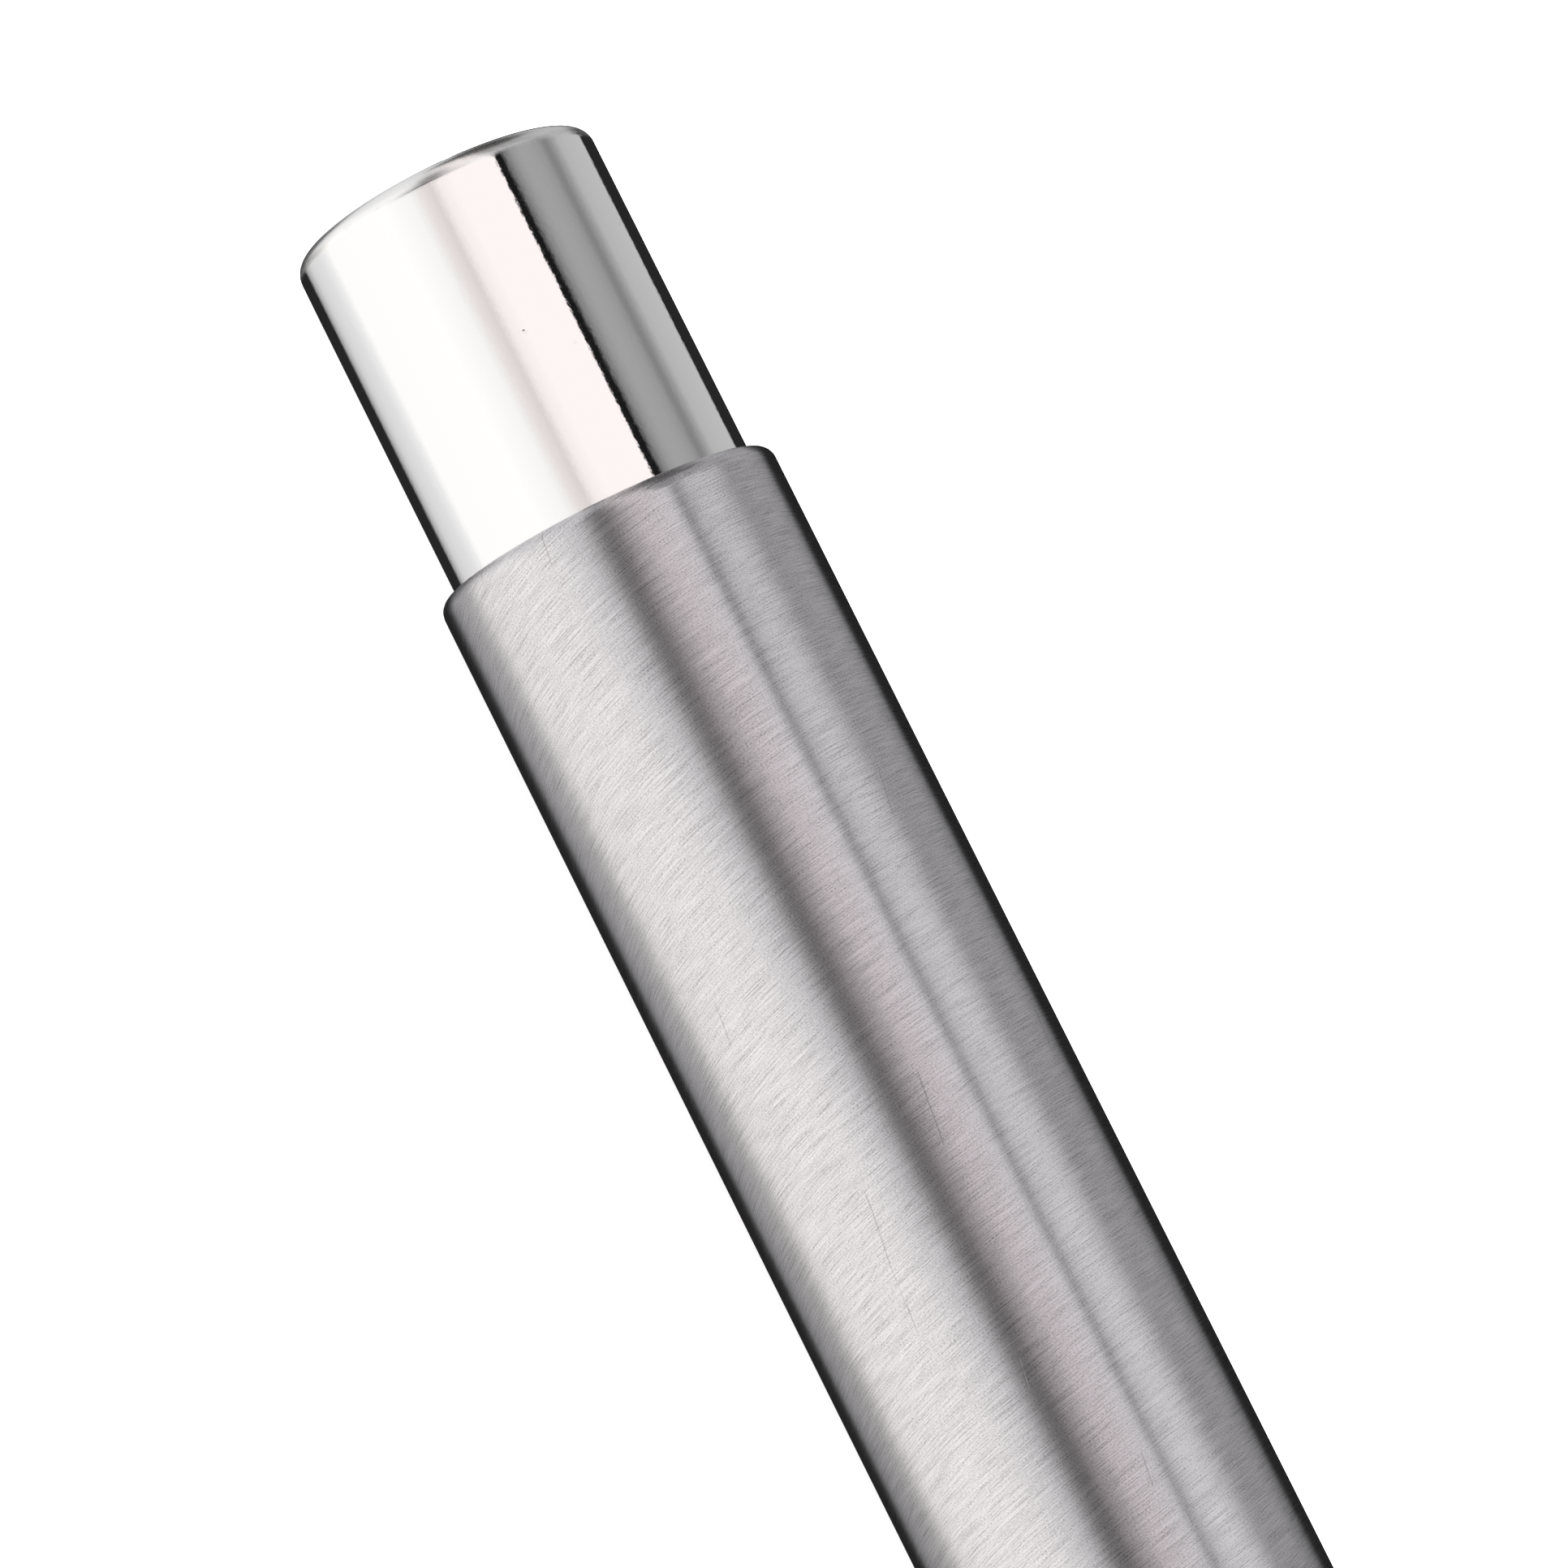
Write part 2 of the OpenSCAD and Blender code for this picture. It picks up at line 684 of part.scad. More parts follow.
module ink_column() {
    color("navy")
        in_pen()
            rod(tube_bore - 2 * fit_gap, body_from + ink_foot, plug_from - plug_in - ink_air);
}

upper_barrel();
lower_barrel();
centre_ring();
nose_cone();
clip();
push_button();
button_insert();
click_plunger();
click_rotor();
click_sleeve();
joint_socket();
joint_spigot();
joint_o_ring();
return_spring();
refill_tube();
refill_plug();
refill_point();
writing_ball();
ink_column();
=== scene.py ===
"""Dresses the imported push-button pen: metal finishes, return spring, screw threads, light and camera."""

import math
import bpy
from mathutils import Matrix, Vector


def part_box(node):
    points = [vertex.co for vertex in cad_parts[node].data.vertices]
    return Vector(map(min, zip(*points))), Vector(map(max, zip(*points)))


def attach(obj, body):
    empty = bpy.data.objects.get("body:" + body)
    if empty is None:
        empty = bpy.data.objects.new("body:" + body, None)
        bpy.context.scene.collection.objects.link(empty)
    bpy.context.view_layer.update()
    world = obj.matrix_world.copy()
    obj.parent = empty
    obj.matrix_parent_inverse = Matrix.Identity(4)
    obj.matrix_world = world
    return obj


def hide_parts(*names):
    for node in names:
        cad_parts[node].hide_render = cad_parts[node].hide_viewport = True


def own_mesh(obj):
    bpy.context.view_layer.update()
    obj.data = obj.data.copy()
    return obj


bl_info = {
    "name": "Push-button pen",
    "version": (1, 0, 0),
    "blender": (4, 5, 0),
    "location": "View3D > Sidebar > Pen",
    "description": "Finishes of a metal push-button pen, with its return spring, screw threads and studio",
    "category": "Object",
}

import bpy
from bpy.props import FloatProperty, FloatVectorProperty, IntProperty, PointerProperty
from mathutils import Matrix, Vector

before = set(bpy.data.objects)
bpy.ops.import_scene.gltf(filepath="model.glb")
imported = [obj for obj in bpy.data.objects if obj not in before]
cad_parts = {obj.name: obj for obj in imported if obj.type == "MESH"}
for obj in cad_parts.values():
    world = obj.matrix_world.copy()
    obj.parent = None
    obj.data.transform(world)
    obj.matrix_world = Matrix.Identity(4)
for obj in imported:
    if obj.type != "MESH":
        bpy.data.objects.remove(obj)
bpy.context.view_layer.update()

# The pen's axis runs along X, with the button towards -X. Lengths are in metres.
MM = 0.001
barrel_lo, barrel_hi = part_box("upper_barrel")
AXIS_Y = (barrel_lo[1] + barrel_hi[1]) / 2
AXIS_Z = (barrel_lo[2] + barrel_hi[2]) / 2
BARREL_R = (barrel_hi[2] - barrel_lo[2]) / 2
# Height of the camera above the desk, seen along the pen
VIEW_HEIGHT = math.radians(40)


# Sizes and colours.

class PenMetal(bpy.types.PropertyGroup):
    """Colours and grain of the metals."""
    steel: FloatVectorProperty(name="Tube steel", description="Colour of the brushed steel of the tubes",
                               subtype="COLOR", default=(0.69, 0.673, 0.698), min=0, max=1)
    steel_roughness: FloatProperty(name="Steel roughness", description="Roughness of the brushed steel",
                                   default=0.3, min=0.05, max=1)
    steel_stretch: FloatProperty(name="Highlight stretch", description="How far a highlight is drawn out",
                                 default=1.0, min=0, max=1)
    stroke_width: FloatProperty(name="Stroke width", description="Width of one stroke, along the pen",
                                unit="LENGTH", default=0.025 * MM)
    stroke_length: FloatProperty(name="Stroke length", description="Length of one stroke, round the tube",
                                 unit="LENGTH", default=1.5 * MM)
    chrome: FloatVectorProperty(name="Chrome", description="Colour of the polished metal",
                                subtype="COLOR", default=(0.95, 0.945, 0.945), min=0, max=1)
    chrome_roughness: FloatProperty(name="Chrome roughness", description="Roughness of the polished metal",
                                    default=0.035, min=0, max=1)
    brass: FloatVectorProperty(name="Brass", description="Colour of the turned brass bushes",
                               subtype="COLOR", default=(0.78, 0.6, 0.3), min=0, max=1)
    nickel: FloatVectorProperty(name="Point metal", description="Colour of the point holder",
                                subtype="COLOR", default=(0.7, 0.66, 0.55), min=0, max=1)
    drawn: FloatVectorProperty(name="Refill steel", description="Colour of the refill's drawn tube",
                               subtype="COLOR", default=(0.66, 0.66, 0.67), min=0, max=1)
    carbide: FloatVectorProperty(name="Ball", description="Colour of the writing ball",
                                 subtype="COLOR", default=(0.45, 0.45, 0.47), min=0, max=1)
    wire: FloatVectorProperty(name="Spring steel", description="Colour of the spring's wire",
                              subtype="COLOR", default=(0.7, 0.7, 0.72), min=0, max=1)


class PenPlastic(bpy.types.PropertyGroup):
    """Colours of the moulded pieces, the rubber ring and the ink."""
    white: FloatVectorProperty(name="Click pieces", description="Colour of the moulded click pieces",
                               subtype="COLOR", default=(0.86, 0.86, 0.83), min=0, max=1)
    grey: FloatVectorProperty(name="Button core", description="Colour of the core inside the button",
                              subtype="COLOR", default=(0.26, 0.26, 0.27), min=0, max=1)
    rubber: FloatVectorProperty(name="Rubber ring", description="Colour of the rubber ring",
                                subtype="COLOR", default=(0.03, 0.03, 0.03), min=0, max=1)
    ink: FloatVectorProperty(name="Ink", description="Colour of the ink",
                             subtype="COLOR", default=(0.01, 0.015, 0.12), min=0, max=1)


class PenSpring(bpy.types.PropertyGroup):
    """The return spring."""
    wire: FloatProperty(name="Wire", description="Diameter of the spring's wire",
                        unit="LENGTH", default=0.4 * MM)
    turns: IntProperty(name="Open turns", description="Turns between the closed ends",
                       default=6, min=3, max=12)
    closed: FloatProperty(name="Closed turns", description="Turns that lie together at each end",
                          default=1.25, min=0.5)


class PenThread(bpy.types.PropertyGroup):
    """The screw joint between the two halves."""
    pitch: FloatProperty(name="Pitch", description="Rise of the thread in one turn",
                         unit="LENGTH", default=0.75 * MM)
    depth: FloatProperty(name="Depth", description="Depth of the thread",
                         unit="LENGTH", default=0.3 * MM)
    length: FloatProperty(name="Length", description="Length of the thread",
                          unit="LENGTH", default=7 * MM)
    bush: FloatProperty(name="Bush", description="Length of the spigot inside its tube",
                        unit="LENGTH", default=9 * MM)
    land: FloatProperty(name="Land", description="Diameter under the centre ring",
                        unit="LENGTH", default=8.5 * MM)
    outside: FloatProperty(name="Outside", description="Diameter over the spigot's thread",
                           unit="LENGTH", default=8 * MM)
    groove: FloatProperty(name="Groove", description="Diameter under the rubber ring",
                          unit="LENGTH", default=7.31 * MM)
    bore: FloatProperty(name="Bore", description="Hole for the refill",
                        unit="LENGTH", default=6.55 * MM)
    play: FloatProperty(name="Play", description="Clearance round the thread",
                        unit="LENGTH", default=0.05 * MM)


class PenStage(bpy.types.PropertyGroup):
    """Floor, light and camera."""
    floor: FloatVectorProperty(name="Floor", description="Colour of the floor",
                               subtype="COLOR", default=(0.9, 0.9, 0.9), min=0, max=1)
    floor_size: FloatProperty(name="Floor size", description="Side of the square floor",
                              unit="LENGTH", default=6)
    glow: FloatProperty(name="Floor glow", description="Light of the floor that only the camera sees",
                        default=0.58)
    fill: FloatProperty(name="Plain light", description="Level of the plain light on matt surfaces",
                        default=0.62)
    lamp: FloatProperty(name="Lamp", description="Power of the soft lamp overhead",
                        unit="POWER", default=6.5)
    lamp_size: FloatProperty(name="Lamp size", description="Side of the square lamp",
                             unit="LENGTH", default=0.5)
    lamp_place: FloatVectorProperty(name="Lamp place", description="Where the lamp hangs",
                                    subtype="TRANSLATION", default=(-0.2, -0.25, 0.6))
    elevation: FloatProperty(name="Elevation", description="Height of the camera above the desk",
                             subtype="ANGLE", default=VIEW_HEIGHT)
    tilt: FloatProperty(name="Tilt", description="Lean of the camera towards the nose",
                        subtype="ANGLE", default=math.radians(3.2))
    roll: FloatProperty(name="Roll", description="Turn of the camera about its own axis",
                        subtype="ANGLE", default=math.radians(63.4415))
    distance: FloatProperty(name="Distance", description="Camera to the pen's axis",
                            unit="LENGTH", default=110 * MM)
    angle: FloatProperty(name="Angle of view", description="Angle of view of the square picture",
                         subtype="ANGLE", default=math.radians(22.812))
    along: FloatProperty(name="Aim along", description="Where the camera aims, along the pen's axis",
                         unit="LENGTH", default=-47.083 * MM)
    shift: FloatProperty(name="Aim across", description="Where the camera aims, across the picture",
                         unit="LENGTH", default=2.907 * MM)


# Node helpers.

class Nodes:
    """Short hand for building a node tree."""

    def __init__(self, tree):
        self.tree = tree
        tree.nodes.clear()

    def add(self, kind, **values):
        """A new node, with its settings."""
        node = self.tree.nodes.new(kind)
        for key, value in values.items():
            setattr(node, key, value)
        return node

    def link(self, source, target):
        """Joins an output to an input."""
        self.tree.links.new(source, target)

    def put(self, socket, value):
        """Feeds an input from another node's output, or sets it to a constant."""
        if isinstance(value, bpy.types.NodeSocket):
            self.link(value, socket)
        else:
            socket.default_value = value

    def place(self):
        """The shaded point's place in its piece, which at rest is its place in the frame."""
        return self.add("ShaderNodeTexCoord").outputs["Object"]

    def math(self, operation, a, b=None, c=None):
        """One step of arithmetic on one, two or three numbers."""
        node = self.add("ShaderNodeMath", operation=operation)
        for socket, value in zip(node.inputs, (a, b, c)):
            if value is not None:
                self.put(socket, value)
        return node.outputs[0]

    def weigh(self, *terms):
        """The sum of values that each come with a weight."""
        *others, (value, weight) = terms
        total = self.math("MULTIPLY", value, weight)
        for value, weight in reversed(others):
            total = self.math("MULTIPLY_ADD", value, weight, total)
        return total

    def vector(self, operation, a, b=None):
        """One step of arithmetic on one or two vectors."""
        node = self.add("ShaderNodeVectorMath", operation=operation)
        self.put(node.inputs[0], a)
        if b is not None:
            self.put(node.inputs[1], b)
        return node.outputs["Value" if operation in ("DOT_PRODUCT", "LENGTH") else "Vector"]

    def combine(self, x, y, z):
        """A vector from three numbers."""
        node = self.add("ShaderNodeCombineXYZ")
        for socket, value in zip(node.inputs, (x, y, z)):
            self.put(socket, value)
        return node.outputs[0]

    def noise(self, vector, scale, detail, roughness=0.5, dimensions="3D"):
        """Soft noise from 0 to 1, with about scale patches for each unit of the vector."""
        node = self.add("ShaderNodeTexNoise", noise_dimensions=dimensions)
        self.put(node.inputs["Vector"], vector)
        node.inputs["Scale"].default_value = scale
        node.inputs["Detail"].default_value = detail
        node.inputs["Roughness"].default_value = roughness
        return node.outputs["Fac"]

    def spread(self, value, low, high, to_low=0.0, to_high=1.0):
        """Takes low to high onto to_low to to_high, and holds those ends beyond."""
        node = self.add("ShaderNodeMapRange")
        for socket, item in zip(node.inputs, (value, low, high, to_low, to_high)):
            self.put(socket, item)
        return node.outputs[0]

    def mix(self, factor, a, b):
        """Blends two colours, which the node takes at inputs 6 and 7 and gives at output 2."""
        node = self.add("ShaderNodeMix", data_type="RGBA")
        self.put(node.inputs["Factor"], factor)
        self.put(node.inputs[6], a)
        self.put(node.inputs[7], b)
        return node.outputs[2]

    def ramp(self, factor, stops):
        """A run of colours. Each stop is a place from 0 to 1 and a colour with alpha."""
        node = self.add("ShaderNodeValToRGB")
        elements = node.color_ramp.elements
        # A new ramp has two stops
        for _ in stops[2:]:
            elements.new(0.5)
        for element, (place, colour) in zip(elements, stops):
            element.position = place
            element.color = colour
        self.put(node.inputs[0], factor)
        return node.outputs[0]

    def bump(self, height, distance):
        """A normal from a height, where a height of 1 is distance deep."""
        node = self.add("ShaderNodeBump")
        node.inputs["Strength"].default_value = 1.0
        node.inputs["Distance"].default_value = distance
        self.put(node.inputs["Height"], height)
        return node.outputs[0]


def surface(name, **sockets):
    """A new material with one Principled shader, and its node builder."""
    material = bpy.data.materials.new(name)
    material.use_nodes = True
    n = Nodes(material.node_tree)
    shader = n.add("ShaderNodeBsdfPrincipled")
    output = n.add("ShaderNodeOutputMaterial")
    n.link(shader.outputs[0], output.inputs["Surface"])
    for key, value in sockets.items():
        shader.inputs[key.replace("_", " ")].default_value = value
    return material, n, shader


def round_worked(name, stretch):
    """A metal whose strokes or tool marks run round the pen, so that its highlights are drawn out."""
    quarter_turn = 0.25
    material, n, shader = surface(name, Metallic=1.0, Anisotropic=stretch, Anisotropic_Rotation=quarter_turn)
    tangent = n.add("ShaderNodeTangent", direction_type="RADIAL", axis="X")
    n.link(tangent.outputs[0], shader.inputs["Tangent"])
    return material, n, shader


def shade(colour, by):
    """A colour made darker or lighter, with alpha."""
    return (*[min(1.0, c * by) for c in colour], 1)


def dress(material, *names):
    """Gives CAD nodes a material."""
    for name in names:
        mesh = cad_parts[name].data
        mesh.materials.clear()
        mesh.materials.append(material)


# Marks in the metal.

# Range that most values of a noise lie in
NOISE = (0.3, 0.7)
# Growth of the strokes' lean from the front of the tube: their shift along the pen, in metres, is this
# times the square of the arc in metres.
LEAN_GROWTH = -21.5


def round_axis(n):
    """Place along the pen, and length of arc round its axis, with the seam on the side that the camera
    doesn't see."""
    place = n.vector("SUBTRACT", n.place(), (0, AXIS_Y, AXIS_Z))
    out = n.vector("DOT_PRODUCT", place, (0, -math.cos(VIEW_HEIGHT), math.sin(VIEW_HEIGHT)))
    side = n.vector("DOT_PRODUCT", place, (0, math.sin(VIEW_HEIGHT), math.cos(VIEW_HEIGHT)))
    along = n.vector("DOT_PRODUCT", place, (1, 0, 0))
    return along, n.math("MULTIPLY", n.math("ARCTAN2", side, out), BARREL_R)


def patches(n, along, arc, width, length, detail, roughness=0.5):
    """Noise in patches of a width along the pen and a length round it."""
    spot = n.combine(n.math("DIVIDE", along, width), n.math("DIVIDE", arc, length), 0.0)
    return n.noise(spot, scale=1.0, detail=detail, roughness=roughness, dimensions="2D")


def strokes(n, along, arc, width, length, lean, offset):
    """Fine strokes that run round the pen, leaning by some degrees at the front, and more towards the desk.
    offset keeps one set of strokes apart from another."""
    bent = n.math("MULTIPLY_ADD", n.math("MULTIPLY", arc, arc), LEAN_GROWTH, n.math("ADD", along, offset))
    turn = n.add("ShaderNodeVectorRotate", rotation_type="Z_AXIS")
    n.put(turn.inputs["Vector"], n.combine(bent, arc, 0.0))
    turn.inputs["Angle"].default_value = math.radians(lean)
    scaled = n.vector("MULTIPLY", turn.outputs[0], (1 / width, 1 / length, 1))
    return n.noise(scaled, scale=1.0, detail=2.0, roughness=0.6, dimensions="2D")


def hair_lines(n, along, arc):
    """A few thin scratches that run nearly along the pen, as short stretches of even, wavering lines."""
    spacing = 2.4 * MM
    slant = 0.12
    sway = 0.6 * MM
    # Half widths of a line, fully dark and faded out, as shares of the spacing
    dark, faded = 0.003, 0.009
    wander = patches(n, along, arc, width=5 * MM, length=3 * MM, detail=1.0)
    lane = n.math("MULTIPLY_ADD", along, slant, n.math("MULTIPLY_ADD", wander, sway, arc))
    side = n.math("SUBTRACT", n.math("FRACT", n.math("DIVIDE", lane, spacing)), 0.5)
    line = n.spread(n.math("ABSOLUTE", side), dark, faded, 1.0, 0.0)
    stretch = patches(n, along, arc, width=2.6 * MM, length=1.4 * MM, detail=0.0)
    return n.math("MULTIPLY", line, n.spread(stretch, low=0.69, high=0.75))


def pits(n, spacing, radius, share):
    """Small round pits, in a given share of the cells of a random pattern."""
    # Share of a pit's radius that is flat
    flat = 0.3
    cells = n.add("ShaderNodeTexVoronoi", feature="F1")
    n.link(n.place(), cells.inputs["Vector"])
    cells.inputs["Scale"].default_value = 1 / spacing
    pit = n.spread(cells.outputs["Distance"], flat * radius / spacing, radius / spacing, 1.0, 0.0)
    chosen = n.math("LESS_THAN", n.vector("DOT_PRODUCT", cells.outputs["Color"], (1, 0, 0)), share)
    return n.math("MULTIPLY", pit, chosen)


# Finishes.

def brushed_steel(p):
    """Steel brushed round the tube, with light and dark strokes, specks, cuts, hair lines and pits."""
    material, n, shader = round_worked("brushed_steel", p.steel_stretch)
    along, arc = round_axis(n)

    def layer(wider, longer, lean, offset):
        return strokes(n, along, arc, p.stroke_width * wider, p.stroke_length * longer, lean, offset)

    fine = layer(wider=1, longer=1, lean=-11, offset=0.0)
    crossed = layer(wider=1.3, longer=0.8, lean=-15, offset=0.37)
    broad = layer(wider=4, longer=2, lean=-12, offset=0.11)
    cut = n.spread(layer(wider=1.1, longer=0.7, lean=-16, offset=0.83), low=0.66, high=0.74)
    speck = patches(n, along, arc, width=0.026 * MM, length=0.06 * MM, detail=1.0)
    grain = n.weigh((speck, 0.37), (fine, 0.36), (crossed, 0.22), (broad, 0.05))
    pit = pits(n, spacing=2.4 * MM, radius=0.045 * MM, share=0.3)
    marks = n.math("MAXIMUM", hair_lines(n, along, arc), pit)

    # Level of the grain, and lightness of the steel there
    tones = [(0.39, 0.6), (0.46, 0.92), (0.52, 1.04), (0.59, 1.24)]
    tone = n.ramp(grain, [(level, shade(p.steel, light)) for level, light in tones])
    cut_dark, marks_dark = 0.5, 0.45
    dark = n.math("MAXIMUM", n.math("MULTIPLY", cut, cut_dark), n.math("MULTIPLY", marks, marks_dark))
    darkest = shade(p.steel, 0.25)
    n.link(n.mix(dark, tone, darkest), shader.inputs["Base Color"])

    smooth, rough = p.steel_roughness - 0.04, p.steel_roughness + 0.05
    n.link(n.spread(grain, *NOISE, smooth, rough), shader.inputs["Roughness"])
    # Depth of a cut or a mark, with the whole range of the grain as 1
    sunk = 0.6
    height = n.math("SUBTRACT", grain, n.math("MULTIPLY", n.math("ADD", cut, marks), sunk))
    n.link(n.bump(height, distance=0.0019 * MM), shader.inputs["Normal"])
    return material


def polished_chrome(p):
    """Polished metal: a slow ripple, a fine grain, a few pits, and a softer gloss on the button's edge."""
    material, n, shader = surface("polished_chrome", Metallic=1.0)
    place = n.place()
    fine = n.noise(place, scale=6500.0, detail=2.0)
    slow = n.noise(place, scale=420.0, detail=1.0)
    pit = pits(n, spacing=2.2 * MM, radius=0.09 * MM, share=0.5)
    height = n.weigh((fine, 1.3), (slow, 1.6), (pit, -2.5))
    n.link(n.bump(height, distance=0.0012 * MM), shader.inputs["Normal"])
    pit_dark = 0.2
    tone = n.mix(n.math("MULTIPLY", pit, pit_dark), (*p.chrome, 1), shade(p.chrome, 0.6))
    n.link(tone, shader.inputs["Base Color"])

    # A point's distance from the axis, less its depth behind the button's end, is above the shoulder's
    # radius on the rounding of that end and below it everywhere else.
    rounding = 0.5 * MM
    button_lo, button_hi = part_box("push_button")
    shoulder = (button_hi[2] - button_lo[2]) / 2 - rounding
    off_axis = n.vector("SUBTRACT", place, (button_lo[0], AXIS_Y, AXIS_Z))
    inward = n.vector("DOT_PRODUCT", off_axis, (1, 0, 0))
    out = n.vector("LENGTH", n.vector("MULTIPLY", off_axis, (0, 1, 1)))
    soft_from, soft_full, softness = shoulder - 0.1 * MM, shoulder + 0.04 * MM, 0.24
    soft = n.spread(n.math("SUBTRACT", out, inward), soft_from, soft_full, to_high=softness)
    smooth, rough = p.chrome_roughness * 0.7, p.chrome_roughness * 1.4
    gloss = n.spread(fine, *NOISE, smooth, rough)
    n.link(n.math("ADD", gloss, soft), shader.inputs["Roughness"])
    return material


def turned_metal(name, colour, roughness, pitch):
    """Metal off the lathe: rings of tool marks across the axis, and a slightly uneven colour."""
    material, n, shader = round_worked(name, stretch=0.5)
    along, arc = round_axis(n)
    rings = patches(n, along, arc, width=pitch, length=pitch * 60, detail=3.0, roughness=0.6)
    stain = n.noise(n.place(), scale=700.0, detail=3.0)
    stained, darkest = shade(colour, 0.82), shade(colour, 0.6)
    tone = n.mix(n.spread(stain, low=0.35, high=0.7), (*colour, 1), stained)
    ring_dark = 0.25
    tone = n.mix(n.spread(rings, low=0.35, high=0.65, to_high=ring_dark), tone, darkest)
    n.link(tone, shader.inputs["Base Color"])
    smooth, rough = roughness * 0.8, roughness * 1.25
    n.link(n.spread(rings, *NOISE, smooth, rough), shader.inputs["Roughness"])
    n.link(n.bump(rings, distance=0.003 * MM), shader.inputs["Normal"])
    return material


def moulded_plastic(name, colour, roughness):
    """Moulded plastic: faint flow marks and a fine skin."""
    material, n, shader = surface(name, Specular_IOR_Level=0.45)
    place = n.place()
    flow = n.noise(place, scale=260.0, detail=2.0)
    skin = n.noise(place, scale=9000.0, detail=2.0)
    darkest = shade(colour, 0.93)
    n.link(n.mix(n.spread(flow, *NOISE), (*colour, 1), darkest), shader.inputs["Base Color"])
    smooth, rough = roughness - 0.06, roughness + 0.08
    n.link(n.spread(skin, *NOISE, smooth, rough), shader.inputs["Roughness"])
    n.link(n.bump(skin, distance=0.003 * MM), shader.inputs["Normal"])
    return material


# Shapes.

# Faces that meet at less than this angle are shaded as one smooth surface
SMOOTH_BELOW = math.radians(35)
# Broken edges of the brass bushes
CHAMFER = 0.12 * MM
# Slope at the start of the spigot's thread
LEAD_IN = 0.5 * MM


def new_piece(name, points, faces, material, body, node):
    """A mesh object that stands for one CAD node, smooth where its faces meet softly."""
    mesh = bpy.data.meshes.new(name)
    mesh.from_pydata(points, [], faces)
    mesh.validate()
    mesh.shade_smooth()
    mesh.set_sharp_from_angle(angle=SMOOTH_BELOW)
    mesh.materials.append(material)
    piece = bpy.data.objects.new(name, mesh)
    bpy.context.collection.objects.link(piece)
    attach(piece, body)
    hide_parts(node)
    return piece


def on_axis(x, radius, angle):
    """A point at a distance and an angle from the pen's axis."""
    return (x, AXIS_Y + radius * math.cos(angle), AXIS_Z + radius * math.sin(angle))


def tube_faces(rings, sides, ring_loop):
    """Quads between rings of points; ring_loop joins the last ring to the first."""
    return [(i * sides + k, i * sides + (k + 1) % sides,
             (i + 1) % rings * sides + (k + 1) % sides, (i + 1) % rings * sides + k)
            for i in range(rings if ring_loop else rings - 1) for k in range(sides)]


def threaded_turning(outline, thread, pitch, depth, sides=128, steps=16):
    """Points and faces of a ring-shaped turning. outline is a closed loop of (x, radius). thread is
    (x from, x to, radius, sign): between those places the surface at that radius gets a V thread cut into
    it, outwards for sign 1 and inwards for sign -1, drawn with some steps along the pen for each pitch."""
    low, high, radius, sign = thread
    same = 0.001 * MM
    loop = []
    for (x0, r0), (x1, r1) in zip(outline, outline[1:] + outline[:1]):
        loop.append((x0, r0, False))
        if abs(r0 - radius) < same and abs(r1 - radius) < same:
            count = int((high - low) / pitch * steps)
            inner = [(low + (high - low) * i / count, radius, True) for i in range(1, count)]
            loop += inner if x1 > x0 else inner[::-1]
    # Half width of the V in pitches, how far its bottom is filled, and pitches over which its ends run out
    half_width, flat, run_out = 0.42, 1.15, 0.6
    points = []
    for k in range(sides):
        angle = 2 * math.pi * k / sides
        for x, r, cut in loop:
            if cut:
                phase = (x / pitch - k / sides) % 1.0
                vee = max(0.0, 1.0 - abs(phase - 0.5) / half_width)
                fade = min(1.0, (x - low) / (run_out * pitch), (high - x) / (run_out * pitch))
                r += sign * depth * min(1.0, vee * flat) * max(0.0, fade)
            points.append(on_axis(x, r, angle))
    return points, tube_faces(sides, len(loop), True)


def wound_wire(start, length, coil, wire, turns, closed, sides=14, steps=44):
    """Points and faces of a spring of round wire, wound along -X from start and closed at both ends."""
    # Rise of a closed turn, with a little air to the next one
    tight = wire * 1.03
    total = turns + 2 * closed
    open_rise = (length - 2 * closed * tight) / turns
    # Parts of a turn over which a closed turn passes softly into an open one
    soften = (-0.12, -0.06, 0.0, 0.06, 0.12)

    def travel(turn):
        if turn <= closed:
            return turn * tight
        if turn >= total - closed:
            return length - (total - turn) * tight
        return closed * tight + (turn - closed) * open_rise

    rings = int(total * steps) + 1
    points = []
    for i in range(rings):
        turn = total * i / (rings - 1)
        advance = sum(travel(min(max(turn + d, 0.0), total)) for d in soften) / len(soften)
        angle = 2 * math.pi * turn
        slope = math.atan2(open_rise if closed < turn < total - closed else tight, math.pi * coil)
        for k in range(sides):
            turned = 2 * math.pi * k / sides
            out = coil / 2 + wire / 2 * math.cos(turned)
            lift = wire / 2 * math.sin(turned)
            swing = angle - lift * math.sin(slope) / (coil / 2)
            points.append(on_axis(start - advance - lift * math.cos(slope), out, swing))
    faces = tube_faces(rings, sides, False)
    faces.append(tuple(range(sides))[::-1])
    faces.append(tuple(range((rings - 1) * sides, rings * sides)))
    return points, faces


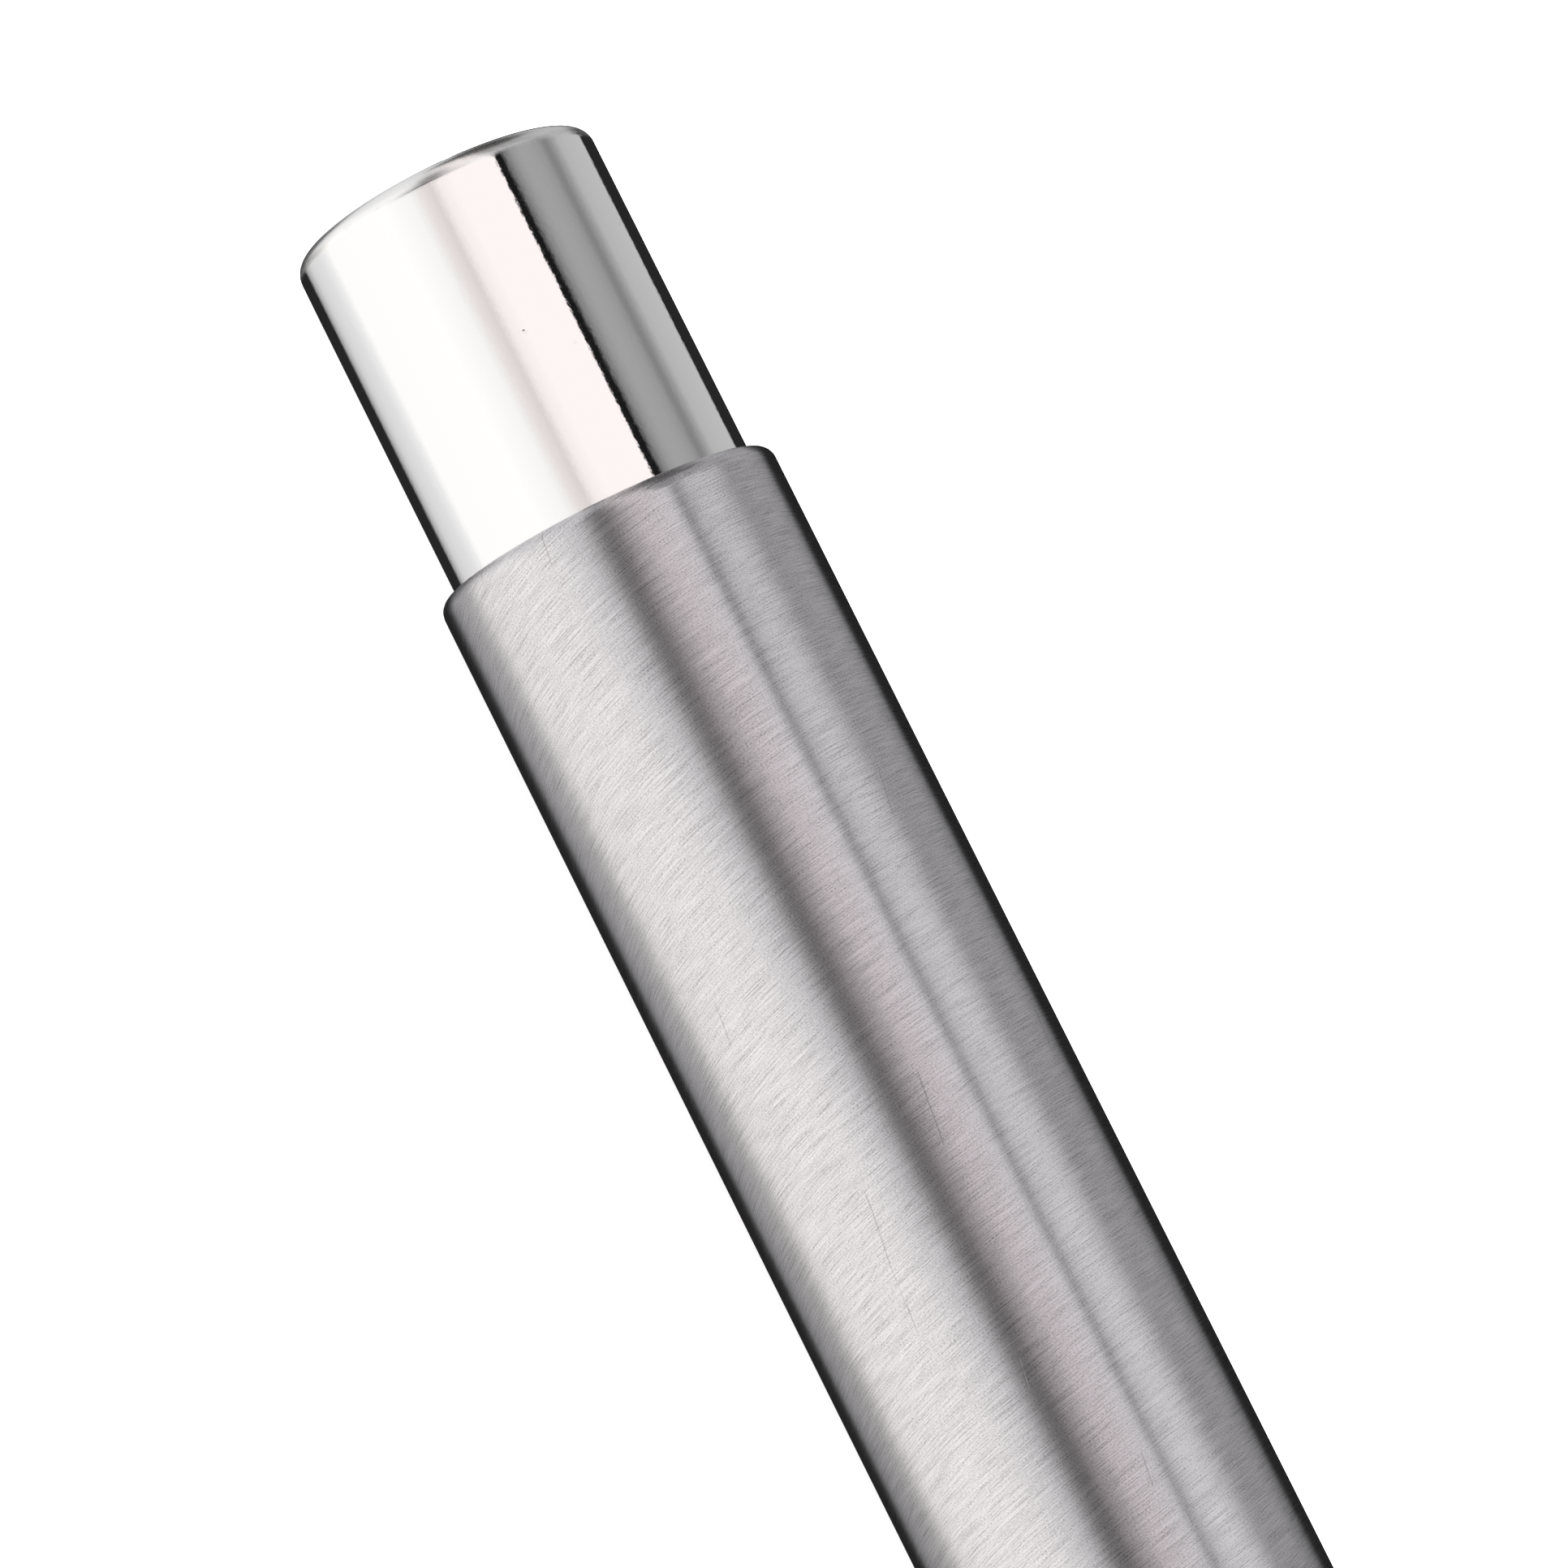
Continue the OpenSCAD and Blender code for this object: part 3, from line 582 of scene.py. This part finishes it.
def threaded_spigot(p, brass):
    """Brass bush of the lower tube, with the centre ring's land, the rubber ring's groove and a thread."""
    lo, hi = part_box("joint_spigot")
    pressed = (hi[2] - lo[2]) / 2
    bore, land, groove, outside = p.bore / 2, p.land / 2, p.groove / 2, p.outside / 2
    foot = hi[0] - p.bush
    thread_end = lo[0] + p.length
    ring_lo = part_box("centre_ring")[0][0]
    outline = [(hi[0], bore + CHAMFER), (hi[0], pressed - CHAMFER), (hi[0] - CHAMFER, pressed),
               (foot, pressed), (foot, land), (ring_lo, land), (ring_lo, groove),
               (thread_end, groove), (thread_end, outside),
               (lo[0] + LEAD_IN, outside), (lo[0], outside - LEAD_IN), (lo[0], bore)]
    thread = (lo[0] + LEAD_IN, thread_end, outside, -1)
    points, faces = threaded_turning(outline, thread, p.pitch, p.depth)
    new_piece("threaded_spigot", points, faces, brass, "lower", "joint_spigot")


def threaded_socket(p, brass):
    """Brass bush of the upper tube, with a thread inside."""
    lo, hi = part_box("joint_socket")
    pressed = (hi[2] - lo[2]) / 2
    crest = p.outside / 2 + p.play
    outline = [(hi[0], crest + CHAMFER), (hi[0], pressed - CHAMFER), (hi[0] - CHAMFER, pressed),
               (lo[0] + CHAMFER, pressed), (lo[0], pressed - CHAMFER),
               (lo[0], crest), (hi[0] - CHAMFER, crest)]
    points, faces = threaded_turning(outline, (lo[0], hi[0] - CHAMFER, crest, 1), p.pitch, p.depth)
    new_piece("threaded_socket", points, faces, brass, "barrel", "joint_socket")


# Stage.

# Tints of the tent's strips
WHITE = (1.0, 1.0, 1.0)
WARM = (1.0, 0.995, 0.98)
ROSE = (1.0, 0.935, 0.92)
PINK = (1.0, 0.975, 0.93)
MAUVE = (1.0, 0.92, 0.945)

# The light tent that metal mirrors, in parts by how far a ray leans along the pen. Each part is a list of
# strips: a direction round the pen in degrees, 0 at the front and 90 overhead, its level, and its tint.
# Mirrored by the button's side
BUTTON_TENT = [
    (-99, 0.02), (-96, 0.32), (-93, 0.48), (-86, 0.67), (-79, 0.73), (-70, 0.78), (-62, 0.88),
    (-56, 1.04, WARM), (0, 1.06, WARM), (22, 0.97, WARM), (31, 0.82, ROSE), (38, 0.73, ROSE),
    (44, 0.95, ROSE), (54, 1.04, ROSE), (87.2, 1.04, ROSE), (88.4, 0.01), (93.2, 0.01), (95.5, 0.16),
    (98, 0.24), (103, 0.33), (108, 0.37), (114, 0.37), (120, 0.355), (126, 0.32), (131, 0.24),
    (134, 0.24), (139, 0.33), (146, 0.47), (154, 0.5), (176.5, 0.53), (178.5, 0.02),
]
# Mirrored by the tube, and between the parts for the button's side and for its roundings
TUBE_TENT = [
    (-180, 0.02), (-103, 0.02), (-100, 0.1), (-97, 0.28), (-86, 0.37), (-70, 0.5, PINK),
    (-56, 1.18, PINK), (-20, 1.3, PINK), (2, 1.22, PINK), (15, 0.84), (24, 0.48), (30, 0.14),
    (35, 0.02), (46, 0.0), (50, 0.12, MAUVE), (55, 0.58, MAUVE), (70, 0.78, MAUVE), (80, 0.98),
    (84, 1.2), (88.5, 1.2), (90.5, 0.46), (93.5, 0.46), (95.5, 1.0), (104, 1.18), (114, 1.2),
    (124, 0.92), (133, 0.5), (142, 0.38), (160, 0.38), (172, 0.24), (178, 0.22), (180, 0.02),
]
# Mirrored by the roundings of the button's end
REAR_TENT = [
    (-180, 0.5), (-160, 0.5), (-152, 0.08), (-141, 0.05), (-139.5, 0.7), (-128, 0.7), (-122, 0.04),
    (-99, 0.04), (-94, 0.5), (-80, 0.8), (-50, 1.0, WARM), (27, 1.0, WARM), (34, 0.03), (48, 0.03),
    (55, 1.0, ROSE), (84, 1.0, ROSE), (88, 0.02), (93, 0.02), (96, 0.35), (134, 0.35), (139, 0.5),
    (180, 0.5),
]
# Mirrored by the flat of the button's end
TIP_TENT = [
    (-180, 0.03), (-155, 0.03), (-148, 0.75), (-60, 0.82), (24, 0.88), (32, 0.5), (50, 0.5),
    (58, 0.95, ROSE), (88, 0.95, ROSE), (92, 0.03), (180, 0.03),
]
# Mirrored by surfaces that face towards the nose
NOSE_TENT = [
    (-180, 0.32), (-150, 0.45), (-110, 0.28), (-84, 0.4), (-66, 0.8), (-50, 1.0, WARM),
    (28, 1.0, WARM), (34, 0.03), (48, 0.03), (55, 1.0, ROSE), (84, 1.0, ROSE), (88, 0.05),
    (93, 0.05), (98, 0.35), (136, 0.3), (142, 0.55), (168, 0.5), (180, 0.32),
]

# Leans at which one part of the tent fades into the next: -1 runs to the button's end, 1 to the nose
TIP_END = (-0.82, -0.74)
REAR_END = (-0.5, -0.42)
BUTTON_START = (-0.3, -0.28)
BUTTON_END = (-0.12, -0.105)
NOSE_START = (0.42, 0.6)
# Past this direction the button's part starts nearer to the button's end, by this lean
OVERHEAD = 87
OVERHEAD_REACH = 0.14
# The dark band at this direction runs slantwise over the tube: it moves by its slant times the ray's lean,
# counted from the pivot. It moves in full up to the first number of turns from its direction, and not at
# all past the second.
BAND = 45
BAND_NEAR = (0.07, 0.125)
BAND_SLANT = -0.09
BAND_PIVOT = -0.2
BAND_LAST_LEAN = 0.1


def round_tent(degrees):
    """A direction round the pen as a place on a ramp, 0 and 1 at the back."""
    return (degrees + 180) / 360


def tent_part(n, turn, strips):
    """One part of the tent, as a ramp round the pen."""
    stops = []
    for degrees, level, *tint in strips:
        colour = tint[0] if tint else WHITE
        stops.append((round_tent(degrees), (*[level * c for c in colour], 1)))
    return n.ramp(turn, stops)


def mirrored_tent(n):
    """The colour that metal mirrors in a ray's direction."""
    ray = n.add("ShaderNodeTexCoord").outputs["Generated"]
    lean = n.vector("DOT_PRODUCT", ray, (1, 0, 0))
    front = n.vector("DOT_PRODUCT", ray, (0, -1, 0))
    up = n.vector("DOT_PRODUCT", ray, (0, 0, 1))
    turn = n.math("MULTIPLY_ADD", n.math("ARCTAN2", up, front), 1 / (2 * math.pi), 0.5)

    from_band = n.math("ABSOLUTE", n.math("SUBTRACT", turn, round_tent(BAND)))
    near = n.spread(from_band, *BAND_NEAR, 1.0, 0.0)
    pivoted = n.math("SUBTRACT", n.math("MINIMUM", lean, BAND_LAST_LEAN), BAND_PIVOT)
    slanted = n.math("MULTIPLY_ADD", n.math("MULTIPLY", pivoted, near), BAND_SLANT, turn)

    overhead = n.math("GREATER_THAN", turn, round_tent(OVERHEAD))
    reach = n.math("MULTIPLY_ADD", overhead, OVERHEAD_REACH, lean)
    on_button = n.math("MULTIPLY", n.spread(reach, *BUTTON_START), n.spread(lean, *BUTTON_END, 1.0, 0.0))
    tent = n.mix(on_button, tent_part(n, slanted, TUBE_TENT), tent_part(n, turn, BUTTON_TENT))
    tent = n.mix(n.spread(lean, *REAR_END, 1.0, 0.0), tent, tent_part(n, turn, REAR_TENT))
    tent = n.mix(n.spread(lean, *NOSE_START), tent, tent_part(n, turn, NOSE_TENT))
    return n.mix(n.spread(lean, *TIP_END, 1.0, 0.0), tent, tent_part(n, turn, TIP_TENT))


def studio(p):
    """A world that the camera sees as white, metal as the tent, and matt surfaces as a plain light."""
    world = bpy.data.worlds.new("studio")
    world.use_nodes = True
    world.cycles.sampling_method = "NONE"
    n = Nodes(world.node_tree)
    path = n.add("ShaderNodeLightPath")
    shown = n.math("MAXIMUM", path.outputs["Is Camera Ray"], path.outputs["Is Transmission Ray"])
    level = n.mix(path.outputs["Is Glossy Ray"], (p.fill, p.fill, p.fill, 1), mirrored_tent(n))
    back = n.add("ShaderNodeBackground")
    n.link(n.mix(shown, level, (*WHITE, 1)), back.inputs["Color"])
    n.link(back.outputs[0], n.add("ShaderNodeOutputWorld").inputs["Surface"])
    return world


def white_floor(p):
    """Matt white with a glow that only the camera sees, so that it is white and still keeps the shadow."""
    colour = (*p.floor, 1)
    material, n, shader = surface("floor_white", Base_Color=colour, Roughness=1.0, Specular_IOR_Level=0.0)
    glow = n.add("ShaderNodeEmission")
    seen = n.add("ShaderNodeLightPath").outputs["Is Camera Ray"]
    n.link(n.math("MULTIPLY", seen, p.glow), glow.inputs["Strength"])
    both = n.add("ShaderNodeAddShader")
    n.link(shader.outputs[0], both.inputs[0])
    n.link(glow.outputs[0], both.inputs[1])
    n.link(both.outputs[0], n.tree.nodes["Material Output"].inputs["Surface"])
    return material


def soft_lamp(p):
    """A square lamp above the front of the pen, which the metal doesn't mirror."""
    light = bpy.data.lights.new("soft_lamp", "AREA")
    light.size = p.lamp_size
    light.energy = p.lamp
    lamp = bpy.data.objects.new("soft_lamp", light)
    lamp.location = p.lamp_place
    lamp.rotation_euler = (-lamp.location).to_track_quat("-Z", "Y").to_euler()
    lamp.visible_glossy = False
    return lamp


# Operators: one for each group of like pieces, and for the stage and its camera.

class PEN_OT_tubes(bpy.types.Operator):
    """Brushes the two steel tubes"""
    bl_idname = "pen.tubes"
    bl_label = "Brushed tubes"

    def execute(self, context):
        dress(brushed_steel(context.scene.pen_metal), "upper_barrel", "lower_barrel")
        return {"FINISHED"}


class PEN_OT_polished(bpy.types.Operator):
    """Polishes the button, the clip, the centre ring and the nose"""
    bl_idname = "pen.polished"
    bl_label = "Polished pieces"

    def execute(self, context):
        dress(polished_chrome(context.scene.pen_metal), "push_button", "clip", "centre_ring", "nose_cone")
        return {"FINISHED"}


class PEN_OT_click(bpy.types.Operator):
    """Finishes the moulded pieces of the click mechanism and the button's core"""
    bl_idname = "pen.click"
    bl_label = "Click mechanism"

    def execute(self, context):
        p = context.scene.pen_plastic
        white = moulded_plastic("white_plastic", p.white, roughness=0.42)
        dress(white, "click_plunger", "click_rotor", "click_sleeve")
        dress(moulded_plastic("grey_plastic", p.grey, roughness=0.5), "button_insert")
        return {"FINISHED"}


class PEN_OT_refill(bpy.types.Operator):
    """Finishes the refill: tube, plug, point, ball and ink"""
    bl_idname = "pen.refill"
    bl_label = "Refill"

    def execute(self, context):
        metal, plastic = context.scene.pen_metal, context.scene.pen_plastic
        dress(turned_metal("refill_steel", metal.drawn, roughness=0.3, pitch=0.09 * MM), "refill_tube")
        dress(turned_metal("point_nickel", metal.nickel, roughness=0.25, pitch=0.05 * MM), "refill_point")
        dress(turned_metal("ball_carbide", metal.carbide, roughness=0.12, pitch=0.03 * MM), "writing_ball")
        dress(moulded_plastic("refill_plug_plastic", plastic.white, roughness=0.38), "refill_plug")
        dress(moulded_plastic("ink", plastic.ink, roughness=0.16), "ink_column")
        return {"FINISHED"}


class PEN_OT_joint(bpy.types.Operator):
    """Cuts the threads of the two brass bushes, and finishes the rubber ring between them"""
    bl_idname = "pen.joint"
    bl_label = "Screw joint"

    def execute(self, context):
        p = context.scene.pen_thread
        brass = turned_metal("turned_brass", context.scene.pen_metal.brass, roughness=0.28, pitch=0.08 * MM)
        rubber = moulded_plastic("black_rubber", context.scene.pen_plastic.rubber, roughness=0.55)
        dress(rubber, "joint_o_ring")
        threaded_spigot(p, brass)
        threaded_socket(p, brass)
        return {"FINISHED"}


class PEN_OT_spring(bpy.types.Operator):
    """Winds the return spring from round wire"""
    bl_idname = "pen.spring"
    bl_label = "Return spring"

    def execute(self, context):
        p = context.scene.pen_spring
        lo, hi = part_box("return_spring")
        coil = hi[2] - lo[2] - p.wire
        length = hi[0] - lo[0] - p.wire
        points, faces = wound_wire(hi[0] - p.wire / 2, length, coil, p.wire, p.turns, p.closed)
        steel = turned_metal("spring_wire", context.scene.pen_metal.wire, roughness=0.2, pitch=0.05 * MM)
        spring = new_piece("wound_spring", points, faces, steel, "lower", "return_spring")
        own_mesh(spring)
        return {"FINISHED"}


class PEN_OT_stage(bpy.types.Operator):
    """Sets the pale floor, the soft lamp and the light tent that the metal reflects"""
    bl_idname = "pen.stage"
    bl_label = "Stage"

    def execute(self, context):
        p = context.scene.pen_stage
        bpy.ops.mesh.primitive_plane_add(size=p.floor_size)
        floor = context.object
        floor.name = "floor"
        floor.visible_glossy = False
        floor.data.materials.append(white_floor(p))
        context.collection.objects.link(soft_lamp(p))
        context.scene.world = studio(p)
        context.scene.view_settings.view_transform = "Standard"
        return {"FINISHED"}


class PEN_OT_camera(bpy.types.Operator):
    """Sets the camera over the button's end, rolled so that the pen runs down to the right"""
    bl_idname = "pen.camera"
    bl_label = "Camera"

    def execute(self, context):
        p = context.scene.pen_stage
        out = Vector((0, -math.cos(p.elevation), math.sin(p.elevation)))
        back = math.cos(p.tilt) * out + math.sin(p.tilt) * Vector((1, 0, 0))
        level = Vector((0, math.sin(p.elevation), math.cos(p.elevation))).cross(back).normalized()
        turned = Matrix.Rotation(p.roll, 3, back)
        right = turned @ level
        up = back.cross(right)
        place = Vector((p.along, AXIS_Y, AXIS_Z)) + p.shift * up + p.distance * back
        data = bpy.data.cameras.new("camera")
        data.sensor_fit = "HORIZONTAL"
        data.angle = p.angle
        data.clip_start = 10 * MM
        camera = bpy.data.objects.new("camera", data)
        camera.matrix_world = Matrix((right, up, back)).transposed().to_4x4()
        camera.location = place
        context.collection.objects.link(camera)
        context.scene.camera = camera
        return {"FINISHED"}


class PEN_PT_panel(bpy.types.Panel):
    """Lists the steps that dress the pen"""
    bl_label = "Push-button pen"
    bl_space_type = "VIEW_3D"
    bl_region_type = "UI"
    bl_category = "Pen"

    def draw(self, context):
        for step in STEPS:
            self.layout.operator(step.bl_idname)
        for group in GROUPS:
            settings = getattr(context.scene, group)
            box = self.layout.box()
            for name in settings.__annotations__:
                box.prop(settings, name)


GROUPS = {"pen_metal": PenMetal, "pen_plastic": PenPlastic, "pen_spring": PenSpring,
          "pen_thread": PenThread, "pen_stage": PenStage}
STEPS = (PEN_OT_tubes, PEN_OT_polished, PEN_OT_click, PEN_OT_refill,
         PEN_OT_joint, PEN_OT_spring, PEN_OT_stage, PEN_OT_camera)


def register():
    """Adds the classes, and their settings on the scene."""
    for kind in (*GROUPS.values(), *STEPS, PEN_PT_panel):
        bpy.utils.register_class(kind)
    for name, kind in GROUPS.items():
        setattr(bpy.types.Scene, name, PointerProperty(type=kind))


def unregister():
    """Takes the settings and the classes off again."""
    for name in GROUPS:
        delattr(bpy.types.Scene, name)
    for kind in reversed((*GROUPS.values(), *STEPS, PEN_PT_panel)):
        bpy.utils.unregister_class(kind)


def main():
    """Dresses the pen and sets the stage."""
    register()
    bpy.ops.pen.tubes()
    bpy.ops.pen.polished()
    bpy.ops.pen.click()
    bpy.ops.pen.refill()
    bpy.ops.pen.joint()
    bpy.ops.pen.spring()
    bpy.ops.pen.stage()
    bpy.ops.pen.camera()


if __name__ == "__main__":
    main()
